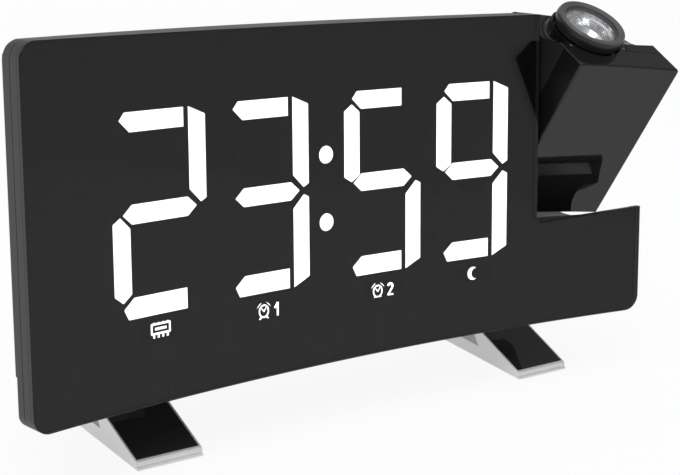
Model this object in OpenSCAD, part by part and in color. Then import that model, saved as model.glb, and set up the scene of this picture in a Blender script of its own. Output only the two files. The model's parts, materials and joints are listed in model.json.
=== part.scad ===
// Alarm clock with a hollow-curved display front, a swivelling projector arm and two wedge feet.
// The case is drawn upright in its own frame: X to the right, Y from front to back, Z up, with the
// middle of the display's lower front edge at the origin. placed() then leans it back on its feet.

/* [Case] */
// Width of the case across its ends
case_w = 190; // [186:1:196]
// Height of the case
case_h = 83.7; // [82:0.1:86]
// Radius of the case corners
corner_r = 4.3; // [3:0.1:6]
// Radius of the hollow curve of the front, seen from above
front_r = 513; // [480:1:600]
// Radius of the outward curve of the slab's back, seen from above
back_r = 306; // [296:1:330]
// Depth of the thin slab at the middle of the case
slab_d = 13.8; // [13.2:0.1:14.6]
// Depth of the whole case at its middle
case_d = 30.8; // [30:0.1:33]
// Radius of the slab's rounded rear edges
slab_edge_r = 1.5; // [0.8:0.1:1.8]
// Wall of the moulded shells
wall = 2; // [1.6:0.1:2.2]
// Backward lean of the case on its feet in degrees
case_lean = 10; // [6:1:12]
// Height of the display's lower edge above the table
ride_h = 17.4; // [16.6:0.1:19]

/* [Back bulge] */
// How far the bulge on the back stops short of the case's ends
bulge_in = 8.7; // [8:0.1:8.8]
// Height of the bulge's underside above the case's lower edge
bulge_z0 = 12; // [11:0.5:13]
// Fall from the case's top to the bulge's top
bulge_drop = 3.7; // [3.2:0.1:4.5]
// Radius of the bulge's rounded top and bottom edges
bulge_edge_r = 5; // [4:0.5:6]
// Radius of the bulge's rounded ends
bulge_end_r = 6; // [5:0.5:7]
// Radius of the hollow fillet where the bulge's top meets the slab
root_r = 6; // [5:0.5:7]
// Radius of the hollow fillet where the bulge's ends meet the slab
end_root_r = 9; // [8.9:0.1:10]

/* [Front] */
// Thickness of the smoked front window
panel_t = 1.5; // [1.2:0.1:1.8]
// Depth of the front frame behind the window's face
frame_depth = 4.25; // [4:0.05:4.6]
// Gap of the seam between the front frame and the rear cover
seam_gap = 0.2; // [0.1:0.05:0.3]

/* [Display] */
// Middle of each digit across the case
digit_x = [-58, -26.4, 9.6, 38.8];
// Width of each digit
digit_w = [26.7, 25.2, 24.4, 23.5];
// Segments that are lit in each digit
digit_lit = ["abged", "abgcd", "afgcd", "abfgcd"];
// Height of the digits' lower ends
digit_z0 = 20.5; // [19.8:0.1:21.5]
// Height of a digit
digit_h = 46.3; // [45:0.1:47.5]
// Width of an upright segment
segment_w = 4.8; // [4.2:0.1:5.2]
// Height of a level segment
bar_h = 4.4; // [4:0.1:4.8]
// Where the colon stands across the case
colon_x = -8.3; // [-8.8:0.1:-7.8]
// Half width of a colon dot
colon_r = 2.1; // [1.8:0.1:2.3]
// Middle of each indicator light across the case
indicator_x = [-58.6, -26.6, 9.6, 39.3];
// Height of the indicator lights
indicator_z = 16.4; // [16.2:0.1:16.8]
// Width of an indicator light
indicator_w = 12; // [9:0.5:12.5]
// Thickness of the display mask
mask_t = 0.6; // [0.4:0.1:0.8]
// Depth of a light guide behind the mask's face
guide_d = 1.6; // [1.4:0.1:1.9]
// Thickness of the circuit boards
board_t = 1.6; // [1.2:0.1:1.8]

/* [Notch] */
// Width of the notch for the projector arm
notch_w = 35.3; // [34.8:0.1:36.4]
// Height of the notch floor at its inner end
notch_z = 28; // [27:0.1:28.4]
// Rise of the notch floor's front edge towards the case's end
notch_rise = 1.5; // [0:0.1:2]
// Radius of the notch's inner corner
notch_r = 1.8; // [1:0.1:2.5]

/* [Projector arm] */
// Gap between the arm and the notch's side
arm_gap = 1; // [0.6:0.1:1.4]
// Width of the arm
arm_w = 34.1; // [33:0.1:34.2]
// Height of the arm's lower end when it stands upright
arm_z0 = 31.4; // [31:0.1:33]
// Fall from the case's top to the top of the upright arm at its inner side
arm_top_gap = 0.4; // [0.1:0.1:1.2]
// Fall of the arm's top towards its outer side
arm_fall = 0.3; // [0:0.1:1]
// Depth of the arm's front cover
arm_front_d = 7; // [6.6:0.1:7.4]
// Depth of the arm's slab at its inner side
arm_slab_in = 9.3; // [8.8:0.1:9.8]
// Depth of the arm's slab at its outer side
arm_slab_out = 11.1; // [10.4:0.1:11.8]
// Fall from the top of the arm's slab to the top of its bulge
arm_drop = 2.8; // [2:0.1:3.4]
// Radius of the hollow slope between the two
arm_root_r = 12; // [8:0.5:14]
// How far the arm's bulge stops short of its outer side
arm_end = 3.6; // [3:0.1:5]
// Radius of the bulge's top rear edge
arm_edge_r = 3; // [2:0.5:4]
// Radius of the hollow fillet where the outer end of the arm's bulge meets its slab
arm_end_root_r = 8.5; // [7:0.5:10]
// Forward lean of the arm from its upright place in degrees
arm_lean = 34.3; // [20:0.1:60]
// Depth of the hinge line behind the middle of the display
hinge_y = 9; // [8.6:0.1:9.6]
// Height of the hinge line above the case's lower edge
hinge_z = 55; // [54:0.1:56]
// Radius of the hollow hinge shaft
shaft_r = 4; // [3.6:0.1:4.4]
// Running clearance of the shaft in its bush
shaft_play = 0.05; // [0.02:0.01:0.09]
// Clearance between the arm's lower end and the hollow under it
swing_gap = 0.6; // [0.4:0.1:1]

/* [Lens] */
// How far the lens stands from the notch's side
lens_in = 14; // [13.7:0.1:14.6]
// Outer radius of the focus ring
ring_r = 9.6; // [9.2:0.1:9.8]
// How far the focus ring stands out above the arm's top
ring_rise = 3.7; // [3.4:0.1:5]
// Radius of the lens that shows in the ring
lens_r = 7.2; // [7:0.1:7.4]
// Outer radius of the lens barrel
barrel_r = 8.4; // [8:0.1:8.5]
// How far the collar round the focus ring stands out above the arm's top
collar_rise = 0.6; // [0.3:0.1:0.9]

/* [Top keys] */
// Width of the snooze key
snooze_w = 34; // [26:1:36]
// Width of a small key
key_w = 10.5; // [8:0.5:11]
// Gap between two keys
key_gap = 2.2; // [1.8:0.1:2.4]
// Depth of the keys from front to back
key_d = 4.8; // [4:0.1:5]
// How far the keys stand out of the bulge's top
key_rise = 1.3; // [1:0.1:1.6]
// How far a key can be pressed
key_travel = 0.8; // [0.5:0.1:1]

/* [Back fittings] */
// Where the loudspeaker sits across the case
speaker_x = -61; // [-61.5:0.5:-59]
// Height of the loudspeaker's middle
speaker_z = 44; // [42:0.5:47]
// Radius of the loudspeaker
speaker_r = 14; // [13:0.5:14]
// Radius of a grille hole
grille_hole_r = 0.9; // [0.6:0.1:1.1]
// Where the battery well sits across the case
battery_x = 22; // [20:0.5:24]
// Height of the battery well's middle
battery_z = 45; // [43:0.5:47]
// Width of the battery door
door_w = 26; // [25:0.5:27]
// Height of the battery door
door_h = 28; // [27:0.5:29]
// Where the charging socket sits across the case
charge_x = -14; // [-15:0.5:-12]
// Where the power socket sits across the case
jack_x = -28; // [-28.5:0.5:-27.5]
// Height of the two sockets
socket_z = 31; // [30:0.5:33]

/* [Feet] */
// How far each foot's middle stands in from its end of the case
foot_in = [40.5, 26.5];
// Width of a foot
foot_w = 18.2; // [17:0.1:19]
// Where the feet's toes start, measured from the display's lower edge
toe_y = -0.9; // [-2:0.1:0]
// Length of a foot on the table
foot_l = 47; // [45:0.5:50]
// Height of the toe's lip
lip_h = 2.4; // [2.2:0.1:2.8]
// Height of the rubber pad under a foot
pad_h = 0.5; // [0.4:0.1:0.7]
// Slope of the foot's front leg in degrees
leg_slope = 20; // [18:0.5:22]
// Height of a foot's ground bar
bar_rise = 3.9; // [3.5:0.1:4.4]

/* [Hidden] */
$fn = 64;
curve_fn = 720;
eps = 0.01;
fit = 0.05;
slip = 0.2;
reach = 60;

// Places that follow from the sizes above
bulge_w = case_w - 2 * bulge_in;
bulge_z1 = case_h - bulge_drop;
notch_x = case_w / 2 - notch_w;
arm_z1 = case_h - arm_top_gap;
lens_x = notch_x + lens_in;
foot_x = [foot_in[0] - case_w / 2, case_w / 2 - foot_in[1]];
back_axis_y = slab_d - back_r;
bulge_r = back_r + case_d - slab_d;
cover_depth = frame_depth + seam_gap;
arm_x0 = notch_x + arm_gap;
arm_x1 = arm_x0 + arm_w;
excess = 0.1;
end_root_y = back_axis_y + sqrt(pow(back_r, 2) - pow(case_w / 2, 2)) + excess
    + sqrt(pow(end_root_r, 2) - pow(end_root_r - bulge_in, 2));
bulge_end_y = back_axis_y + sqrt(pow(bulge_r - bulge_end_r + excess, 2) - pow(bulge_w / 2 - bulge_end_r, 2));
slab_end_x = case_w / 2 - slab_edge_r + excess;
slab_end_y = back_axis_y + sqrt(pow(back_r - slab_edge_r + excess, 2) - pow(slab_end_x, 2));
mask_depth = panel_t + fit;
reflector_depth = mask_depth + mask_t + fit;
cut_play = 0.1;
led_y = 8.2;
led_h = 0.8;
led_w = 1.6;
guide_play = 0.1;
cell_wall = 0.6;
colon_share = [0.32, 0.68];
indicator_h = 4.4;
display_x0 = digit_x[0] - digit_w[0] / 2 - 3.65;
display_x1 = digit_x[3] + digit_w[3] / 2 + 1.45;
display_z0 = indicator_z - indicator_h / 2 - 1;
display_z1 = digit_z0 + digit_h + 4.6;
window_gap = 0.6;
window_r = 2;
mask_over = 0.4;
spacer_h = 7.2;
main_y = led_y + board_t + spacer_h;
main_x = 40;
main_z0 = 22;
main_z1 = bulge_z1 - 14;
spacer_x = main_x - 4;
spacer_z = [main_z0 + 4, main_z1 - 4];
spacer_r = 2.4;
board_hole_r = 1.1;
cell_r = 10;
cell_t = 3.2;
cell_edge = 0.6;
cell_step = 0.3;
contact_t = 0.35;
contact_w = 6;
well_w = 2 * cell_r + 1;
door_pin_r = 0.4;
door_pin_l = 1;
door_pin_in = 0.7;
door_pin_z = 0.9;
door_seat = 0.4;
well_y = case_d - 7;
cell_y = well_y + contact_t + fit;
door_t = 1.2;
door_end_gap = 0.15;
groove_w = 12;
groove_h = 0.8;
switch_w = 6;
switch_h = 3.1;
plunger_r = 1.7;
plunger_h = 0.9;
key_flange = 0.7;
key_flange_t = 0.8;
key_low_z = bulge_z1 - wall - cut_play - key_flange_t;
key_board_z = key_low_z - key_travel - cut_play - plunger_h - switch_h - board_t;
key_mid_r = bulge_r - bulge_edge_r - key_d / 2 - 0.5;
key_hole_x = snooze_w / 2 + 13;
key_hole_r = 1;
key_first_x = snooze_w / 2 + key_gap + key_w / 2;
key_x = [for (side = [-1, 1]) for (n = [0 : 2]) side * (key_first_x + n * (key_w + key_gap))];
snooze_switch_x = 10;
case_screw_in = 16;
case_screw_at = [[case_screw_in - case_w / 2, 24], [case_screw_in - case_w / 2, bulge_z1 - 14],
    [-46, 7], [30, 7], [case_w / 2 - case_screw_in, 18]];
screw_r = 1.2;
screw_head_r = 2.2;
screw_head_t = 1.6;
screw_boss_r = 3.6;
frame_boss_r = 3;
frame_boss_d = 3;
slot_w = 0.6;
slot_l = 2.6;
arm_screw_in = 9.8;
arm_screw_at = [[arm_x1 - arm_screw_in, arm_z0 + 9.6], [arm_x1 - arm_screw_in, arm_z1 - 12.3]];
arm_screw_r = 1;
arm_screw_head_r = 1.8;
arm_screw_wall = 4;
arm_boss_r = 2.4;
arm_seam = 0.15;
barrel_bore = 7.2;
ring_top_z = arm_z1 + ring_rise;
ring_h = 6;
ring_low_z = ring_top_z - ring_h;
ring_gap = 0.3;
ring_floor = 3.6;
collar_t = 0.9;
ring_lip = 0.6;
lens_seat_z = ring_top_z - 1.7;
lens_rim = 0.6;
lens_rise = 2.3;
barrel_play = 0.15;
lens_dome_r = 21;
lamp_board_z = arm_z0 + wall + 2.6;
lamp_z = lamp_board_z + board_t;
lamp_r = 2.4;
lamp_h = 4;
condenser_z = lamp_z + 12;
condenser_t = 4;
condenser_r = 10.4;
condenser_mid_z = lamp_z + 5.5;
slide_z = condenser_z + 5;
slide_w = 9.6;
slide_t = 1.4;
lamp_board_w = 18;
hinge_flange_r = 6.5;
bush_r = shaft_r + 2;
bush_flange_r = 7.6;
post_w = 9;
post_d = 5;
post_y = 21;
post_in = 6;
socket_gap = 0.15;
speaker_seat_y = led_y + board_t + 8;
speaker_rim = 0.8;
basket_t = 0.8;
basket_d = 4;
magnet_r = 8;
magnet_d = 3.2;

// Height above the table of a point of the case
function lifted_z(y, z) = ride_h - y * sin(case_lean) + z * cos(case_lean);

// Depth on the table of a point of the case
function leaned_y(y, z) = y * cos(case_lean) + z * sin(case_lean);

// Curves of the case, seen from above
function front_y(x) = sqrt(pow(front_r, 2) - pow(x, 2)) - front_r;
function bulge_back_y(x) = back_axis_y + sqrt(pow(bulge_r, 2) - pow(x, 2));

// Furthest points of the whole clock to the front and the back, which centre it on its origin
arm_corner = [front_y(arm_x1) - hinge_y, arm_z1 - arm_fall - hinge_z];
front_reach = leaned_y(hinge_y, hinge_z) + arm_corner[0] * cos(arm_lean - case_lean)
    - arm_corner[1] * sin(arm_lean - case_lean);
back_reach = toe_y + foot_l;
origin_y = (front_reach + back_reach) / 2;

// Stands the upright case on the table, leaning back
module placed() {
    translate([0, -origin_y, ride_h]) rotate([-case_lean, 0, 0]) children();
}

// Turns the arm from its upright place to its resting lean
module leaned() {
    translate([0, hinge_y, hinge_z]) rotate([arm_lean, 0, 0]) translate([0, -hinge_y, -hinge_z]) children();
}

// Extrudes an outline drawn in X and Z from y0 back to y1
module along_y(y0, y1) {
    translate([0, y1, 0]) rotate([90, 0, 0]) linear_extrude(y1 - y0) children();
}

// Extrudes an outline drawn in Y and Z from x0 to x1
module along_x(x0, x1) {
    translate([x0, 0, 0]) rotate([90, 0, 90]) linear_extrude(x1 - x0) children();
}

// A round bar along Y
module rod_y(x, z, r, y0, y1) {
    translate([x, y1, z]) rotate([90, 0, 0]) cylinder(r = r, h = y1 - y0);
}

// A round bar along X
module rod_x(r, x0, x1) {
    translate([x0, hinge_y, hinge_z]) rotate([0, 90, 0]) cylinder(r = r, h = x1 - x0);
}

// Everything nearer than a depth behind the hollow front
module nearer(depth, over = 0) {
    translate([0, -front_r, -reach - over])
        cylinder(r = front_r + depth, h = case_h + 2 * (reach + over), $fn = curve_fn);
}

// A curved sheet between two depths behind the hollow front
module layer(depth0, depth1) {
    difference() {
        nearer(depth1);
        nearer(depth0, 1);
    }
}

// A rectangle with round corners from one corner point to the other
module round_rect(x0, z0, x1, z1, r) {
    translate([x0 + r, z0]) square([x1 - x0 - 2 * r, z1 - z0]);
    translate([x0, z0 + r]) square([x1 - x0, z1 - z0 - 2 * r]);
    for (x = [x0 + r, x1 - r]) {
        for (z = [z0 + r, z1 - r]) {
            translate([x, z]) circle(r);
        }
    }
}

// Front view of the notch that holds the projector arm, grown on its inner sides
module notch_outline(grow) {
    low = notch_z - grow;
    side = notch_x - grow;
    far = case_w / 2 + 10;
    high = case_h + 20;
    difference() {
        polygon([[side, low], [far, low + notch_rise * (far - notch_x) / notch_w], [far, high],
            [side, high]]);
        difference() {
            translate([side - 1, low - 1]) square(notch_r + 1);
            translate([side + notch_r, low + notch_r]) circle(notch_r);
        }
    }
}

// Front view of the case with the notch cut out, shrunk all round
module case_outline(inset) {
    difference() {
        round_rect(inset - case_w / 2, inset, case_w / 2 - inset, case_h - inset, corner_r - inset);
        notch_outline(inset);
    }
}

// Section of the slab, swept round the back's upright axis, with its top and bottom rear edges rounded
module slab_section() {
    over = 1;
    translate([0, -over]) square([back_r - slab_edge_r, case_h + 2 * over]);
    translate([0, slab_edge_r - excess]) square([back_r, case_h - 2 * (slab_edge_r - excess)]);
    for (z = [slab_edge_r - excess, case_h - slab_edge_r + excess]) {
        translate([back_r - slab_edge_r, z]) circle(slab_edge_r);
    }
}

// The slab seen from above, with its two rear corners rounded
module slab_plan() {
    spread = 1.1;
    far_y = back_axis_y + spread * (slab_end_y - back_axis_y);
    side = case_w / 2 + 1;
    translate([-side, -reach]) square([2 * side, reach + slab_end_y]);
    polygon([[-slab_end_x, slab_end_y - 1], [slab_end_x, slab_end_y - 1], [slab_end_x, slab_end_y],
        [spread * slab_end_x, far_y], [-spread * slab_end_x, far_y], [-slab_end_x, slab_end_y]]);
    for (turn = [0, 1]) {
        mirror([turn, 0]) translate([slab_end_x, slab_end_y]) circle(slab_edge_r);
    }
}

// The slab as a solid
module slab() {
    intersection() {
        translate([0, back_axis_y, 0]) rotate_extrude($fn = curve_fn) slab_section();
        translate([0, 0, -1]) linear_extrude(case_h + 2) slab_plan();
    }
}

// Section of the back bulge, swept round the back's upright axis, shrunk all round
module bulge_section(inset) {
    in_r = back_r - 8;
    edge_r = bulge_edge_r - inset;
    out_r = bulge_r - inset;
    root_w = sqrt(pow(root_r, 2) - pow(root_r - bulge_drop, 2));
    translate([in_r, bulge_z0 + inset]) square([out_r - edge_r - in_r, bulge_z1 - bulge_z0 - 2 * inset]);
    translate([in_r, bulge_z0 + inset + edge_r])
        square([out_r - in_r, bulge_z1 - bulge_z0 - 2 * (inset + edge_r)]);
    for (z = [bulge_z0 + bulge_edge_r, bulge_z1 - bulge_edge_r]) {
        translate([out_r - edge_r, z]) circle(edge_r);
    }
    difference() {
        translate([in_r, bulge_z1 - inset - 1]) square([back_r - in_r + root_w - inset, bulge_drop + 1]);
        translate([back_r + root_w, bulge_z1 + root_r]) circle(root_r + inset);
    }
}

// The back bulge seen from above: rounded ends and hollow roots where it meets the slab
module bulge_plan(inset) {
    half = bulge_w / 2;
    end_x = half - bulge_end_r;
    spread = 1.1;
    far_y = back_axis_y + spread * (bulge_end_y - back_axis_y);
    translate([inset - half, -reach]) square([bulge_w - 2 * inset, reach + bulge_end_y]);
    polygon([[-end_x, bulge_end_y - 1], [end_x, bulge_end_y - 1], [end_x, bulge_end_y],
        [spread * end_x, far_y], [-spread * end_x, far_y], [-end_x, bulge_end_y]]);
    for (turn = [0, 1]) {
        mirror([turn, 0]) {
            translate([end_x, bulge_end_y]) circle(bulge_end_r - inset);
            difference() {
                translate([half - inset - 1, -reach]) square([end_root_r + 1, reach + end_root_y]);
                translate([half + end_root_r, end_root_y]) circle(end_root_r + inset);
            }
        }
    }
}

// The bulge as a solid
module bulge(inset) {
    intersection() {
        translate([0, back_axis_y, 0]) rotate_extrude($fn = curve_fn) bulge_section(inset);
        linear_extrude(case_h) bulge_plan(inset);
    }
}

// The hollow under the arm: a cone round the hinge line that the arm's lower end swings in
module swing_hollow(grow) {
    drop = hinge_z - arm_z0;
    r0 = norm([hinge_y - front_y(arm_x0), drop]) + swing_gap + grow;
    r1 = norm([hinge_y - front_y(arm_x1), drop]) + swing_gap + grow;
    slope = (r1 - r0) / arm_w;
    far = case_w / 2 + 5;
    translate([notch_x - grow, hinge_y, hinge_z]) rotate([0, 90, 0])
        cylinder(r1 = r0 - slope * (arm_gap + grow), r2 = r0 + slope * (far - arm_x0),
            h = far - notch_x + grow, $fn = 180);
}

// The flat shelf behind the front edge of the notch floor, which carries the trim strip
shelf_z = notch_z - 0.6;
shelf_depth = panel_t + 3.8;
trim_t = 0.8;
trim_x1 = case_w / 2 - 2.2;
module shelf_cut() {
    intersection() {
        translate([notch_x, -reach, shelf_z - trim_t]) cube([trim_x1 - notch_x, 2 * reach, 10]);
        layer(panel_t, shelf_depth);
    }
}

// Every case screw's line, with children drawn at its place on the front
module at_case_screws() {
    for (at = case_screw_at) {
        translate([at[0], front_y(at[0]), at[1]]) children();
    }
}

// The solid that fills the case behind the front frame
module back_solid(inset) {
    intersection() {
        along_y(-reach, reach) case_outline(inset);
        union() {
            if (inset == 0) {
                slab();
            } else {
                translate([0, back_axis_y, -1]) cylinder(r = back_r - inset, h = case_h + 2, $fn = curve_fn);
            }
            bulge(inset);
        }
    }
}

// Middle of the box round an outline
function mid_of(points) =
    [for (k = [0, 1]) (max([for (p = points) p[k]]) + min([for (p = points) p[k]])) / 2];

// Moves the corners of an outline away from its middle
function grown(points, by) =
    let (middle = mid_of(points))
    [for (p = points) p + by * (p - middle) / norm(p - middle)];

// Outline of one segment of a digit, whose slanted ends are shares of its width and bar height
function segment_points(name, n) =
    let (x0 = digit_x[n] - digit_w[n] / 2, x1 = digit_x[n] + digit_w[n] / 2)
    let (z0 = digit_z0, z1 = digit_z0 + digit_h, mid = digit_z0 + digit_h * 0.51)
    let (w = segment_w, b = bar_h, bar_x1 = x1 - w - 1.4)
    name == "a" ? [[x0 + w * 0.54, z1 - b * 0.4], [x0 + w * 0.85, z1], [bar_x1, z1], [bar_x1, z1 - b],
        [x0 + w * 1.13, z1 - b]] :
    name == "d" ? [[x0 + w * 0.54, z0 + b * 0.55], [x0 + w * 1.13, z0 + b * 1.1], [bar_x1, z0 + b * 1.1],
        [bar_x1, z0], [x0 + w * 0.8, z0]] :
    name == "g" ? [[x0 + w * 0.62, mid], [x0 + w * 1.14, mid + b / 2], [x1 - w * 1.14, mid + b / 2],
        [x1 - w * 0.6, mid], [x1 - w * 1.14, mid - b / 2], [x0 + w * 1.14, mid - b / 2]] :
    name == "f" ? [[x0, z1 - b * 1.1], [x0 + w / 2, z1 - b * 0.72], [x0 + w, z1 - b * 1.15],
        [x0 + w, mid + b * 0.45], [x0 + w / 2, mid + b * 0.08], [x0, mid + b * 0.4]] :
    name == "e" ? [[x0, mid - b * 0.4], [x0 + w * 0.45, mid - b * 0.1], [x0 + w, mid - b * 0.7],
        [x0 + w, z0 + b * 1.32], [x0 + w / 2, z0 + b * 0.9], [x0, z0 + b * 1.32]] :
    name == "b" ? [[x1 - w, z1], [x1, z1 - b * 0.45], [x1, mid + b * 0.34], [x1 - w * 0.32, mid + b * 0.16],
        [x1 - w, mid + b * 0.9]] :
    [[x1 - w, z0], [x1, z0 + b * 0.5], [x1, mid - b * 0.42], [x1 - w * 0.32, mid - b * 0.26],
        [x1 - w, mid - b]];

segment_names = ["a", "b", "c", "d", "e", "f", "g"];

// Outlines of the segments: the lit ones, the dark ones or both
module segments(lit, dark, by) {
    for (n = [0 : len(digit_x) - 1]) {
        for (name = segment_names) {
            is_lit = len(search(name, digit_lit[n])) > 0;
            if (is_lit ? lit : dark) {
                polygon(grown(segment_points(name, n), by));
            }
        }
    }
}

// Outlines of the two colon dots
module colon(by) {
    for (share = colon_share) {
        translate([colon_x, digit_z0 + digit_h * share]) circle(colon_r + by);
    }
}

// Outlines of the four indicator lights
module indicators(by) {
    for (x = indicator_x) {
        translate([x - indicator_w / 2 - by, indicator_z - indicator_h / 2 - by])
            square([indicator_w + 2 * by, indicator_h + 2 * by]);
    }
}

// All the lights of the display
module lights(by) {
    segments(true, true, by);
    colon(by);
    indicators(by);
}

module front_panel() {
    color([0.05, 0.05, 0.06]) placed() intersection() {
        layer(0, panel_t);
        along_y(-reach, reach) case_outline(0);
    }
}

module front_frame() {
    color([0.09, 0.09, 0.09]) placed() {
        difference() {
            union() {
                intersection() {
                    layer(panel_t, frame_depth);
                    along_y(-reach, reach) case_outline(0);
                }
                at_case_screws() rod_y(0, 0, frame_boss_r, frame_depth - 0.5, frame_depth + frame_boss_d);
            }
            along_y(-reach, reach) round_rect(display_x0 - window_gap, display_z0 - window_gap,
                display_x1 + window_gap, display_z1 + window_gap, window_r);
            at_case_screws() rod_y(0, 0, screw_r + cut_play, panel_t + 1, frame_depth + frame_boss_d + 1);
            shelf_cut();
            swing_hollow(0);
        }
    }
}

module display_mask() {
    color([0.03, 0.03, 0.03]) placed() difference() {
        intersection() {
            layer(mask_depth, mask_depth + mask_t);
            along_y(-reach, reach) round_rect(display_x0 - mask_over, display_z0 - mask_over,
                display_x1 + mask_over, display_z1 + mask_over, window_r - slip);
        }
        along_y(-reach, reach) lights(guide_play);
    }
}

module light_reflector() {
    color([0.92, 0.92, 0.9]) placed() difference() {
        translate([display_x0, -20, display_z0])
            cube([display_x1 - display_x0, 20 + led_y, display_z1 - display_z0]);
        nearer(reflector_depth);
        intersection() {
            along_y(-reach, reach) lights(guide_play);
            nearer(mask_depth + guide_d + guide_play);
        }
        along_y(-reach, reach) lights(-cell_wall);
    }
}

module guides() {
    intersection() {
        layer(mask_depth, mask_depth + guide_d);
        along_y(-reach, reach) children();
    }
}

module lit_segments() {
    color([1, 1, 1]) placed() guides() segments(true, false, 0);
}

module unlit_segments() {
    color([0.16, 0.16, 0.16]) placed() guides() segments(false, true, 0);
}

module colon_dots() {
    color([1, 1, 1]) placed() guides() colon(0);
}

module indicator_guides() {
    color([0.85, 0.85, 0.85]) placed() guides() indicators(0);
}

module led_board() {
    color([0.1, 0.35, 0.16]) placed() difference() {
        translate([display_x0, led_y, display_z0])
            cube([display_x1 - display_x0, board_t, display_z1 - display_z0]);
        for (x = [-spacer_x, spacer_x]) {
            for (z = spacer_z) {
                rod_y(x, z, board_hole_r, led_y - 1, led_y + board_t + 1);
            }
        }
    }
}

// One small lamp behind the middle of every light
module leds() {
    spots = concat(
        [for (n = [0 : len(digit_x) - 1]) for (name = segment_names) mid_of(segment_points(name, n))],
        [for (share = colon_share) [colon_x, digit_z0 + digit_h * share]],
        [for (x = indicator_x) [x, indicator_z]]);
    color([0.95, 0.9, 0.6]) placed() for (at = spots) {
        translate([at[0] - led_w / 2, led_y - led_h, at[1] - led_w / 2]) cube([led_w, led_h, led_w]);
    }
}

module main_board() {
    color([0.1, 0.35, 0.16]) placed() difference() {
        translate([-main_x, main_y, main_z0]) cube([2 * main_x, board_t, main_z1 - main_z0]);
        for (x = [-spacer_x, spacer_x]) {
            for (z = spacer_z) {
                rod_y(x, z, board_hole_r, main_y - 1, main_y + board_t + 1);
            }
        }
    }
}

// Chip places on the main board: x, z, width, height, thickness
chips = [[-18, 40, 14, 14, 1.6], [8, 34, 10, 6, 1.6], [6, 50, 9, 9, 1.4], [-20, 56, 11, 4, 3.4],
    [22, 38, 7, 7, 4.2], [24, 54, 5, 9, 2.2]];
module main_board_chips() {
    color([0.08, 0.08, 0.09]) placed() for (c = chips) {
        translate([c[0] - c[2] / 2, main_y - c[4], c[1] - c[3] / 2]) cube([c[2], c[4], c[3]]);
    }
}

module board_spacers() {
    color([0.75, 0.6, 0.25]) placed() for (x = [-spacer_x, spacer_x]) {
        for (z = spacer_z) {
            difference() {
                rod_y(x, z, spacer_r, led_y + board_t, main_y);
                rod_y(x, z, board_hole_r, led_y + board_t - 1, main_y + 1);
            }
        }
    }
}

// Depths of the case screws' bosses and head wells, behind the hollow front
boss_front_d = frame_depth + frame_boss_d + cut_play;
well_floor_d = boss_front_d + 2;

// The loudspeaker's grille: holes in rings of six, twelve and so on
grille_pitch = 2.7;
grille_rings = 4;
module grille_holes() {
    rod_y(speaker_x, speaker_z, grille_hole_r, 0, reach);
    for (ring = [1 : grille_rings]) {
        for (n = [0 : 6 * ring - 1]) {
            turn = 60 * n / ring;
            rod_y(speaker_x + grille_pitch * ring * cos(turn), speaker_z + grille_pitch * ring * sin(turn),
                grille_hole_r, 10, reach);
        }
    }
}

// A rectangular pocket or block behind a spot of the back
module back_box(x, z, w, h, y0, y1) {
    translate([x - w / 2, y0, z - h / 2]) cube([w, y1 - y0, h]);
}

// A key's opening or body: an arc-shaped block that follows the bulge's top
module key_block(x, w, d, z0, z1) {
    intersection() {
        translate([0, back_axis_y, z0]) difference() {
            cylinder(r = key_mid_r + d / 2, h = z1 - z0, $fn = curve_fn);
            translate([0, 0, -1]) cylinder(r = key_mid_r - d / 2, h = z1 - z0 + 2, $fn = curve_fn);
        }
        translate([x - w / 2, 0, z0 - 1]) cube([w, reach, z1 - z0 + 2]);
    }
}

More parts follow.
